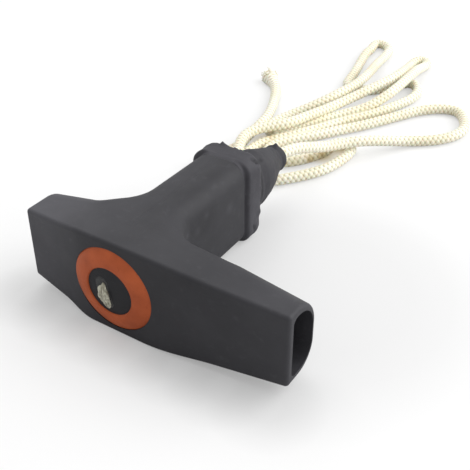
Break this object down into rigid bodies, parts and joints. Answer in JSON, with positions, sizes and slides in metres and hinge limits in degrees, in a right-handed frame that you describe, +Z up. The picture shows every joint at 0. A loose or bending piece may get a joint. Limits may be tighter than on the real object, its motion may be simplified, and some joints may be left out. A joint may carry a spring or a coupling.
{
  "type": "recoil starter handle",
  "caption": "T-shaped pull handle with hollow open arms, a round insert ring in its face, a collared nose and a loose folded braided rope.",
  "frame": {"origin": "middle of the handle's footprint on the floor, the rope's loose stretch not counted", "axes": "+X along the bar towards its longer arm, +Y from the bar's face along the stem to the nose, +Z up"},
  "size_m": [0.1111, 0.2437, 0.0328],
  "materials": {
    "body_plastic": "fine satin moulding, slightly scuffed",
    "ring_plastic": "satin",
    "core_plastic": "satin",
    "sleeve_rubber": "satin",
    "rope_fabric": "braided"
  },
  "bodies": {
    "root": {"grip_body": "body_plastic", "insert_ring": "ring_plastic", "core_plug": "core_plastic", "end_sleeve": "sleeve_rubber", "rope_end": "rope_fabric", "rope_inside": "rope_fabric", "rope_hank": "rope_fabric"}
  },
  "joints": []
}
